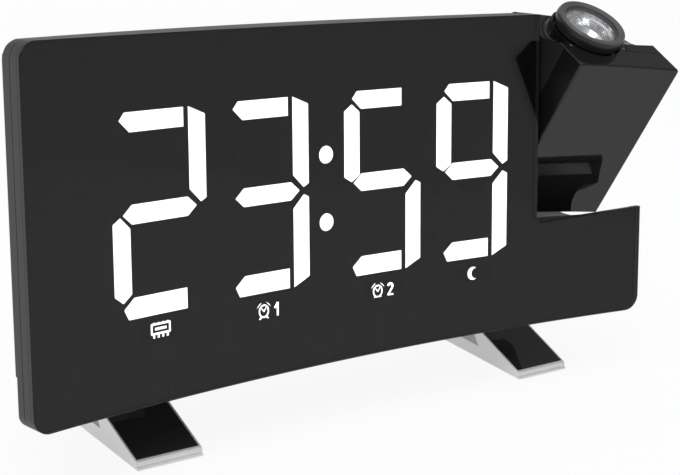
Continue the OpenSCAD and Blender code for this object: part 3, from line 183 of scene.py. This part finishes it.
def lacquer(name, tone, rough):  # silver paint: part metal flake, part plain pigment
    paint, by = Paint(name), vary["lacquer"]
    flake = paint.noise(by["flake"], 1.0)
    cloud = paint.noise(by["cloud"])
    return paint.finish({
        "Base Color": paint.mix(paint.span(flake, 0.0, 1.0), grey(tone * by["darker"]), grey(tone)),
        "Roughness": paint.span(cloud, rough - by["rough"], rough + by["rough"]),
        "Metallic": by["metallic"], "Normal": paint.bump(flake, by["depth"] * mm, by["bump"])})


def glowing(name, colour, strength):
    paint, by = Paint(name), vary["glowing"]
    cloud = paint.noise(by["cloud"], 1.0)
    paler = tuple(by["paler"] * c for c in colour[:3]) + (1.0,)
    return paint.finish({
        "Base Color": colour, "Roughness": by["rough"], "Emission Strength": strength,
        "Emission Color": paint.mix(paint.span(cloud, 0.0, 1.0), colour, paler)})


def plain(name, colour, rough, grain=500.0):
    paint, by = Paint(name), vary["plain"]
    cloud = paint.noise(grain, 3.0)
    darker = tuple(by["darker"] * c for c in colour[:3]) + (1.0,)
    return paint.finish({
        "Base Color": paint.mix(paint.span(cloud, 0.0, 1.0), darker, colour),
        "Roughness": paint.span(cloud, rough - by["rough"], rough + by["rough"])})


finishes = {
    "smoked_window": glossy("smokedWindow", 0.004, 0.03, 1.62, 0.45),
    "case_black": textured("caseBlack", 0.03, 0.42, 2600.0, 0.02),
    "mask_black": glossy("maskBlack", 0.002, 0.3, 1.3),
    "segment_white": glowing("segmentWhite", (1.0, 1.0, 1.0, 1.0), 5.0),
    "segment_dark": glossy("segmentDark", 0.004, 0.3, 1.3),
    "indicator_film": glossy("indicatorFilm", 0.001, 0.6, 1.05),
    "reflector_white": plain("reflectorWhite", (0.8, 0.8, 0.78, 1.0), 0.5),
    "circuit_board": plain("circuitBoard", (0.02, 0.16, 0.07, 1.0), 0.4),
    "lamp_yellow": plain("lampYellow", (0.85, 0.75, 0.3, 1.0), 0.4),
    "chip_black": plain("chipBlack", (0.03, 0.03, 0.035, 1.0), 0.5),
    "spacer_brass": metal("spacerBrass", (0.75, 0.55, 0.25, 1.0), 0.3),
    "trim_silver": metal("trimSilver", (0.72, 0.73, 0.75, 1.0), 0.3),
    "key_black": textured("keyBlack", 0.04, 0.38, 3000.0, 0.012),
    "plated_steel": metal("platedSteel", (0.62, 0.63, 0.65, 1.0), 0.28),
    "speaker_paper": plain("speakerPaper", (0.05, 0.05, 0.05, 1.0), 0.8),
    "bush_grey": plain("bushGrey", (0.2, 0.2, 0.21, 1.0), 0.4),
    "arm_gloss": glossy("armGloss", 0.008, 0.04, 1.48),
    "lens_glass": glossy("lensGlass", 0.5, 0.02, 1.5, 0.12),
    "slide_glass": glossy("slideGlass", 0.3, 0.05, 1.5, 0.5),
    # the ring's tone is raised to stand in for the sheen on its rim: painted sheen
    "ring_grey": textured("ringGreySheen", 0.065, 0.28, 3000.0, 0.006, 1.55),
    "foot_silver": lacquer("footSilver", 0.96, 0.32),
    "inlay_black": glossy("inlayBlack", 0.014, 0.05),
    "pad_rubber": plain("padRubber", (0.04, 0.04, 0.04, 1.0), 0.8),
}
ownFinish = {"arm_rear_cover": glossy("armBack", 0.008, 0.14, 1.41)}
slotOf = {s["node"]: s["material_slot"] for s in record["subparts"]}
for name, node in nodes.items():
    node.data.materials.clear()
    node.data.materials.append(ownFinish.get(name, finishes[slotOf[name]]))
print("finishes assigned")


rounding = {"segments": 3, "angle": 35.0, "flatAngle": 0.3, "weight": 80}


def softEdges(name, width):  # small moulded radii on a node's edges
    node = nodes[name]
    weld = node.modifiers.new("weld", "WELD")
    weld.merge_threshold = weldGap
    flat = node.modifiers.new("flat", "DECIMATE")
    flat.decimate_type = "DISSOLVE"
    flat.angle_limit = math.radians(rounding["flatAngle"])
    bevel = node.modifiers.new("bevel", "BEVEL")
    bevel.width = width * mm
    bevel.segments = rounding["segments"]
    bevel.limit_method = "ANGLE"
    bevel.angle_limit = math.radians(rounding["angle"])
    bevel.use_clamp_overlap = True
    bevel.harden_normals = False
    normals = node.modifiers.new("normals", "WEIGHTED_NORMAL")
    normals.weight = rounding["weight"]
    normals.keep_sharp = False


edgeRadius = {
    "left_foot": 0.4, "right_foot": 0.4,
    "foot_inlays": 0.15, "notch_trim": 0.15, "battery_door": 0.2,
    "snooze_key": 0.5, "set_key": 0.4, "alarm_key": 0.4, "mode_key": 0.4,
    "down_key": 0.4, "up_key": 0.4, "projector_key": 0.4}
for name, width in edgeRadius.items():
    softEdges(name, width)
print("edges rounded")


def arc(cx, cz, r, start, stop, steps):
    angles = [math.radians(start + (stop - start) * k / steps) for k in range(steps + 1)]
    return [(cx + r * math.cos(a), cz + r * math.sin(a)) for a in angles]


def caseOutline():  # front view of the case with its notch, anticlockwise from the lower left corner
    half, top, r = clock["width"] / 2, clock["height"], clock["cornerRadius"]
    x, z, small, steps = clock["notchX"], clock["notchZ"], clock["notchRadius"], clock["cornerSteps"]
    inner = arc(x + small, z + small, small, 270, 180, clock["notchSteps"])
    return (arc(r - half, r, r, 180, 270, steps) + arc(half - r, r, r, 270, 360, steps)
            + [(half, z + clock["notchRise"])] + inner + [(x, top)]
            + arc(r - half, top - r, r, 90, 180, steps))


def cutAcross(bm, axis, places):
    for place in places:
        normal = Vector((axis == 0, 0, axis == 2))
        bmesh.ops.bisect_plane(bm, geom=bm.verts[:] + bm.edges[:] + bm.faces[:],
                               plane_co=normal * place, plane_no=normal)


sheet = {"pitch": 2.0, "wallFacing": 0.1, "frontal": 1e-6}


def sheetOf(points, depth, thickness, bevel=0.0, segments=3):
    # an outline in X and Z as a curved sheet at a depth behind the hollow front
    bm = bmesh.new()
    face = bm.faces.new([bm.verts.new((x, 0, z)) for x, z in points])
    grown = bmesh.ops.extrude_face_region(bm, geom=[face])
    for v in [g for g in grown["geom"] if isinstance(g, bmesh.types.BMVert)]:
        v.co.y = thickness
    bmesh.ops.recalc_face_normals(bm, faces=bm.faces[:])
    if bevel:
        front = [e for e in bm.edges if all(v.co.y < sheet["frontal"] for v in e.verts)]
        bmesh.ops.bevel(bm, geom=front, offset=bevel, segments=segments, profile=0.5, affect="EDGES")
    for face in bm.faces:  # a bevelled sheet's walls take the second finish
        face.normal_update()
        face.material_index = 1 if bevel and abs(face.normal.y) < sheet["wallFacing"] else 0
    low, high = min(p[0] for p in points), max(p[0] for p in points)
    steps = max(1, math.ceil((high - low) / sheet["pitch"]))
    cutAcross(bm, 0, [low + (high - low) * k / steps for k in range(1, steps)])
    for v in bm.verts:
        v.co.y += frontY(v.co.x) + depth
    return bm


def piece(name, bm, material, body="case", place=inCase):
    for v in bm.verts:
        v.co = place(*v.co)
    bmesh.ops.recalc_face_normals(bm, faces=bm.faces[:])
    mesh = bpy.data.meshes.new(name)
    bm.to_mesh(mesh)
    bm.free()
    obj = bpy.data.objects.new(name, mesh)
    scene.collection.objects.link(obj)
    mesh.materials.append(material)
    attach(obj, body)
    return obj


def smooth(obj, angle=None):
    for polygon in obj.data.polygons:
        polygon.use_smooth = True
    if angle is not None:
        obj.data.set_sharp_from_angle(angle=math.radians(angle))
    normals = obj.modifiers.new("normals", "WEIGHTED_NORMAL")
    normals.weight = rounding["weight"]
    normals.keep_sharp = angle is not None


# the smoked window, with a print behind its border
window = {
    "thickness": 1.4, "edge": 0.35, "left": -75.0, "right": 52.0, "low": 13.2, "high": 71.4,
    "printGap": 0.02, "print": 0.06, "crease": 40}
panel = piece("smokedPanel", sheetOf(caseOutline(), 0.0, window["thickness"], window["edge"]),
              finishes["smoked_window"])
panel.data.materials.append(finishes["case_black"])
smooth(panel, window["crease"])
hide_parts("front_panel")

border = sheetOf(caseOutline(), window["thickness"] + window["printGap"], window["print"])
cutAcross(border, 0, [window["left"], window["right"]])
cutAcross(border, 2, [window["low"], window["high"]])
inside = [f for f in border.faces if window["left"] < f.calc_center_median().x < window["right"]
          and window["low"] < f.calc_center_median().z < window["high"]]
bmesh.ops.delete(border, geom=inside, context="FACES")
piece("borderPrint", border, finishes["mask_black"])
print("window made")


# the arm's two covers, with the rounded edges that a moulding has
arm = {
    "left": 60.7, "right": 94.8, "low": 31.4, "high": 83.3, "fall": 0.3, "deep": 60.0, "clear": 0.03,
    "edge": 0.7, "side": 0.45, "corner": 0.9, "edgeSteps": 5, "cornerSteps": 5, "sideSteps": 4,
    "crease": 8, "shadeFacing": -0.97}


def armOutline(grow):  # front view of the arm, grown all round, with its upper corners rounded
    x0, x1 = arm["left"] - grow, arm["right"] + grow
    z0, z1, r, s = arm["low"] - grow, arm["high"] + grow, arm["corner"], arm["side"]
    return ([(x0, z0), (x1, z0)] + arc(x1 - r, z1 - arm["fall"] - r, r, 0, 90, arm["cornerSteps"])
            + arc(x0 + s, z1 - s, s, 90, 180, arm["sideSteps"]))


def keepInside(source, envelope):  # trims an object to a mesh under construction, given on the arm
    tool = bpy.data.objects.new("envelope", bpy.data.meshes.new("envelope"))
    for v in envelope.verts:
        v.co = inArm(*v.co)
    bmesh.ops.recalc_face_normals(envelope, faces=envelope.faces[:])
    envelope.to_mesh(tool.data)
    envelope.free()
    scene.collection.objects.link(tool)
    trim = source.modifiers.new("trim", "BOOLEAN")
    trim.operation = "INTERSECT"
    trim.solver = "EXACT"
    trim.use_self = True
    trim.object = tool
    mesh = bpy.data.meshes.new_from_object(source.evaluated_get(bpy.context.evaluated_depsgraph_get()))
    source.modifiers.clear()
    source.data = mesh
    bpy.data.objects.remove(tool)


def moulded(name, leftSideShade):  # a copy of one of the arm's covers with its edges rounded and painted shade on its left side
    welded = bmesh.new()
    welded.from_mesh(nodes[name].data)
    bmesh.ops.remove_doubles(welded, verts=welded.verts[:], dist=weldGap)
    made = bpy.data.objects.new(name + "Moulded", bpy.data.meshes.new(name + "Moulded"))
    welded.to_mesh(made.data)
    welded.free()
    scene.collection.objects.link(made)
    keepInside(made, sheetOf(armOutline(arm["clear"]), -2 * arm["clear"], arm["deep"], arm["edge"],
                             segments=arm["edgeSteps"]))
    made.data.materials.clear()
    made.data.materials.append(nodes[name].data.materials[0])
    made.data.materials.append(leftSideShade)
    # faces turned to the left take the second finish, a darker and dimmer copy of the cover's plastic:
    # painted shade for how that side is lit
    for polygon in made.data.polygons:
        polygon.material_index = 1 if polygon.normal.x < arm["shadeFacing"] else 0
    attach(made, "projector_arm")
    smooth(made, arm["crease"])
    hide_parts(name)


# each cover's second finish is a darker, less glossy copy of its plastic: painted shade on its left side
moulded("arm_front_cover", glossy("armSideShade", 0.005, 0.3, 1.2))
moulded("arm_rear_cover", glossy("armInnerShade", 0.012, 0.4, 1.28))
print("arm covers made")


# the four indicators: a dark film with lit pictures on it
film = {"width": 14.0, "height": 6.2, "depth": 1.7, "thickness": 0.3, "rise": 0.1, "sink": 0.02}
pictureAt = {
    "chip": (-58.7, 17.15), "alarmOne": (-26.7, 16.0), "alarmTwo": (9.6, 15.7), "moon": (39.3, 16.3)}
alarm = {
    "dial": (1.55, 1.65, 0.36), "bell": 2.25, "bellsAt": (132, 48), "bellReach": 24,
    "hands": [(0, -0.1, -0.65, 0.7, 0.26), (0, -0.1, 0.65, 0.75, 0.26)],
    "legs": [(-0.9, -1.5, -1.35, -2.0, 0.4), (0.9, -1.5, 1.35, -2.0, 0.4)]}
figures = {
    "one": [(0.3, 1.5, 0.3, -1.6, 0.55), (0.2, 1.4, -0.55, 0.35, 0.5)],
    "two": [(-0.7, -1.45, 0.85, -1.45, 0.5)], "twoFoot": (-0.75, -1.45),
    "bowRise": 0.75, "bow": 0.72, "bowFrom": 160, "bowTo": -35, "line": 0.5}
apart = {"one": (-1.35, 2.6), "two": (-1.6, 2.5)}  # how far clock and figure stand from their middle
chip = {
    "width": 2.6, "height": 1.1, "line": 0.45, "pins": (-1.5, -0.5, 0.5, 1.5), "pinPitch": 1.3,
    "pinFrom": 1.2, "pinTo": 2.0, "pinLine": 0.5, "bar": (-1.5, 0, 1.5, 0, 0.6)}
moon = {"outer": (0.2, 1.75, 55, 305), "inner": (1.15, 1.44, 275, 85), "outerSteps": 20, "innerSteps": 16}
drawing = {"ringSteps": 32, "arcSteps": 8, "overshoot": 0.4}


def ringShape(cx, cz, rx, rz, line):  # a closed line round an ellipse, as quads
    quads, steps = [], drawing["ringSteps"]
    for k in range(steps):
        a, b = (2 * math.pi * n / steps for n in (k, k + 1))
        quads.append([(cx + r * rx * math.cos(t), cz + r * rz * math.sin(t))
                      for t, r in ((a, 1), (b, 1), (b, 1 - line / rx), (a, 1 - line / rx))])
    return quads


def stroke(a, b, line):  # a straight line of a given width
    along = Vector((b[0] - a[0], b[1] - a[1])).normalized() * line / 2
    side = Vector((-along.y, along.x))
    a, b = Vector(a) - along * drawing["overshoot"], Vector(b) + along * drawing["overshoot"]
    return [tuple(a - side), tuple(b - side), tuple(b + side), tuple(a + side)]


def strokes(x, z, rows):  # straight lines about a spot, each given by its two ends and its width
    return [stroke((x + x0, z + z0), (x + x1, z + z1), line) for x0, z0, x1, z1, line in rows]


def alarmClock(x, z):
    bells = [arc(x, z, alarm["bell"], at - alarm["bellReach"], at + alarm["bellReach"], drawing["arcSteps"])
             for at in alarm["bellsAt"]]
    return ringShape(x, z, *alarm["dial"]) + strokes(x, z, alarm["hands"] + alarm["legs"]) + bells


def alarmOne(x, z):
    clockX, figureX = (x + gap for gap in apart["one"])
    return alarmClock(clockX, z) + strokes(figureX, z, figures["one"])


def alarmTwo(x, z):
    clockX, figureX = (x + gap for gap in apart["two"])
    bow = arc(figureX, z + figures["bowRise"], figures["bow"], figures["bowFrom"], figures["bowTo"],
              drawing["arcSteps"])
    foot = (figureX + figures["twoFoot"][0], z + figures["twoFoot"][1])
    line = [stroke(a, b, figures["line"]) for a, b in zip(bow, bow[1:] + [foot])]
    return alarmClock(clockX, z) + line + strokes(figureX, z, figures["two"])


def chipPicture(x, z):
    w, h, line = chip["width"], chip["height"], chip["line"]
    rows = [(-w, side * h, w, side * h, line) for side in (-1, 1)]
    rows += [(side * w, -h, side * w, h, line) for side in (-1, 1)]
    rows += [(chip["pinPitch"] * n, side * chip["pinFrom"], chip["pinPitch"] * n, side * chip["pinTo"],
              chip["pinLine"]) for n in chip["pins"] for side in (-1, 1)]
    return strokes(x, z, rows + [chip["bar"]])


def moonPicture(x, z):
    (outerX, outer, *outerSpan), (innerX, inner, *innerSpan) = moon["outer"], moon["inner"]
    return [arc(x + outerX, z, outer, *outerSpan, moon["outerSteps"])
            + arc(x + innerX, z, inner, *innerSpan, moon["innerSteps"])]


def joined(parts):  # several meshes under construction as one
    whole = bmesh.new()
    for part in parts:
        mesh = bpy.data.meshes.new("part")
        part.to_mesh(mesh)
        part.free()
        whole.from_mesh(mesh)
        bpy.data.meshes.remove(mesh)
    return whole


def plate(x, z):  # the outline of one indicator's piece of film
    w, h = film["width"] / 2, film["height"] / 2
    return [(x - w, z - h), (x + w, z - h), (x + w, z + h), (x - w, z + h)]


pictures = {"chip": chipPicture, "alarmOne": alarmOne, "alarmTwo": alarmTwo, "moon": moonPicture}
plates = joined([sheetOf(plate(*spot), film["depth"], film["thickness"]) for spot in pictureAt.values()])
filmPiece = piece("indicatorFilm", plates, finishes["indicator_film"])
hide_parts("indicator_guides")
for name, picture in pictures.items():
    solid = joined([sheetOf(points, film["depth"] - film["rise"], film["rise"] + film["sink"])
                    for points in picture(*pictureAt[name])])
    piece(name + "Picture", solid, finishes["segment_white"])
print("indicators made")


# the focus ring, and the lens: a clear dome over a bright cup, both by radius and height on one axis
ring = {
    "outer": 9.6, "belly": 9.9, "foot": 9.4, "bore": 8.55, "opening": 7.75, "height": 3.6, "edge": 0.45,
    "dish": 0.4, "lip": 1.4, "seat": 1.7, "swell": [(0.1, 0.9), (0.0, 1.5), (0.1, 2.2)], "footBand": 0.06,
    "edgeSteps": 6, "steps": 96, "crease": 25}
lens = {
    "x": 73.7, "y": 9.0, "top": 87.0, "radius": 8.35, "dome": 21.0, "domeRise": 2.2, "glassRise": 0.2,
    "cup": [(7.1, 0.1), (6.9, -0.6), (6.2, -1.0), (5.9, -3.4), (4.6, -4.4), (0.001, -4.6)],
    "domeSteps": 10, "steps": 64, "crease": 30, "axis": 0.001, "weld": 0.005}


def turned(profile, steps, material=0):  # a profile of (radius, height) turned round the lens's axis
    bm = bmesh.new()
    angles = [2 * math.pi * k / steps for k in range(steps)]
    rings = [[bm.verts.new((lens["x"] + r * math.cos(a), lens["y"] + r * math.sin(a), z)) for a in angles]
             for r, z in profile]
    for a, b in zip(rings, rings[1:]):
        for k in range(steps):
            n = (k + 1) % steps
            face = bm.faces.new([a[k], a[n], b[n], b[k]])
            face.material_index = material
    bmesh.ops.remove_doubles(bm, verts=bm.verts[:], dist=lens["weld"])
    return bm


top, edge = lens["top"], ring["edge"]
low, lip, seat = top - ring["height"], top - ring["lip"], top - ring["seat"]
rim = [(ring["opening"], lip), (ring["opening"], top - ring["dish"])]
rim += arc(ring["outer"] - edge, top - edge, edge, 90, 0, ring["edgeSteps"])
wall = [(ring["outer"], top - edge)]
wall += [(ring["belly"] - inset, top - drop) for inset, drop in ring["swell"]]
wall += [(ring["foot"], low + ring["footBand"]), (ring["foot"], low)]
wall += [(ring["bore"], low), (ring["bore"], seat), (ring["opening"], lip)]
ringMesh = joined([turned(rim, ring["steps"]), turned(wall, ring["steps"], 1)])
ringPiece = piece("focusRing", ringMesh, finishes["ring_grey"], "focus_ring", inArm)
# the ring's wall takes a darker copy of the ring's finish: painted shade on its side
ringPiece.data.materials.append(textured("ringWallShade", 0.014, 0.24, 3000.0, 0.004, 1.45))
smooth(ringPiece, ring["crease"])
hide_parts("focus_ring")

radii = [lens["radius"] * k / lens["domeSteps"] for k in range(lens["domeSteps"] + 1)]
domeFoot = seat + lens["domeRise"] - lens["dome"]
dome = [(r, domeFoot + math.sqrt(lens["dome"] ** 2 - r * r)) for r in radii]
bottom = [(r, seat + lens["glassRise"]) for r in (lens["axis"], lens["radius"])]
glass = turned(bottom + dome[::-1], lens["steps"])
cup = turned([(r, seat + z) for r, z in lens["cup"]], lens["steps"], 1)
lensMesh = joined([glass, cup])
lensPiece = piece("projectionLens", lensMesh, finishes["lens_glass"], "focus_ring", inArm)
lensPiece.data.materials.append(metal("cupSilver", (0.8, 0.81, 0.83, 1.0), 0.14, 260.0, 1.1))
smooth(lensPiece, lens["crease"])
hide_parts("projection_lens")
print("ring and lens made")


# floor, light and camera
stage = {
    "floorSize": 6.0, "floorTone": 0.9, "floorSeen": 0.9, "floorGloss": 0.66, "skyDiffuse": 0.75,
    "skyGloss": [(0.0, 0.6), (0.2, 0.55), (0.45, 0.25), (0.7, 0.22), (0.85, 0.7), (1.0, 0.9)]}
lamp = {"at": (-0.5, -0.3, 1.1), "aim": (0, 0, 0.05), "size": 0.7, "power": 6.0}
shot = {
    "fromHinge": (-0.248717, -0.303036, 0.103358), "angles": (71.62017, -5.84092, -38.05890),
    "lens": 85.81, "sensor": 36.0, "near": 0.01}


def seenShare(paint, share):  # what the camera, gloss and glass see, as opposed to what lights the scene
    path = paint.node("ShaderNodeLightPath")
    seen = path.out("Is Camera Ray") + path.out("Is Glossy Ray") + path.out("Is Transmission Ray")
    return seen.calc("MINIMUM", seen, 1.0) * share


bpy.ops.mesh.primitive_plane_add(size=stage["floorSize"])
floor = bpy.context.object
floor.name = "studioFloor"
paint = Paint("studioFloor")
base = paint.node("ShaderNodeBsdfDiffuse", {}, {"Color": grey(stage["floorTone"])})
mirrored = paint.node("ShaderNodeLightPath").out("Is Glossy Ray")  # gloss sees the floor a little darker
shown = paint.mix(mirrored, grey(1.0), grey(stage["floorGloss"]))
glow = paint.node("ShaderNodeEmission", {}, {"Color": shown, "Strength": 1.0})
both = paint.node("ShaderNodeMixShader", {}, {0: seenShare(paint, stage["floorSeen"]), 1: base, 2: glow})
paint.node("ShaderNodeOutputMaterial", {}, {"Surface": both})
floor.data.materials.append(paint.material)

# the room: white to the camera, lighter at the horizon and overhead than in between to gloss
world = bpy.data.worlds.new("studioSky")
scene.world = world
sky = Paint("studioSky", world)
direction = sky.node("ShaderNodeTexCoord").out("Generated")
height = sky.node("ShaderNodeSeparateXYZ", {}, {0: direction}).out("Z")
room = sky.node("ShaderNodeValToRGB", {"stops": stage["skyGloss"]}, {0: height})
path = sky.node("ShaderNodeLightPath")
gloss = sky.node("ShaderNodeBackground", {}, {"Color": room, "Strength": 1.0})
near = sky.node("ShaderNodeBackground", {}, {"Color": grey(1.0), "Strength": stage["skyDiffuse"]})
white = sky.node("ShaderNodeBackground", {}, {"Color": grey(1.0), "Strength": 1.0})
lit = sky.node("ShaderNodeMixShader", {}, {0: path.out("Is Glossy Ray"), 1: near, 2: gloss})
seen = path.out("Is Camera Ray") + path.out("Is Transmission Ray")
whole = sky.node("ShaderNodeMixShader", {}, {0: seen, 1: lit, 2: white})
sky.node("ShaderNodeOutputWorld", {}, {"Surface": whole})

area = bpy.data.lights.new("keyLamp", "AREA")
area.size = lamp["size"]
area.energy = lamp["power"]
keyLamp = bpy.data.objects.new("keyLamp", area)
scene.collection.objects.link(keyLamp)
keyLamp.location = lamp["at"]
keyLamp.rotation_euler = (Vector(lamp["aim"]) - Vector(lamp["at"])).to_track_quat("-Z", "Y").to_euler()

view = bpy.data.cameras.new("productView")
view.lens = shot["lens"]
view.sensor_width = shot["sensor"]
view.clip_start = shot["near"]
camera = bpy.data.objects.new("productView", view)
scene.collection.objects.link(camera)
camera.location = hinge + Vector(shot["fromHinge"])
camera.rotation_euler = Euler([math.radians(a) for a in shot["angles"]])
scene.camera = camera
scene.view_settings.view_transform = "Standard"
print("stage ready")
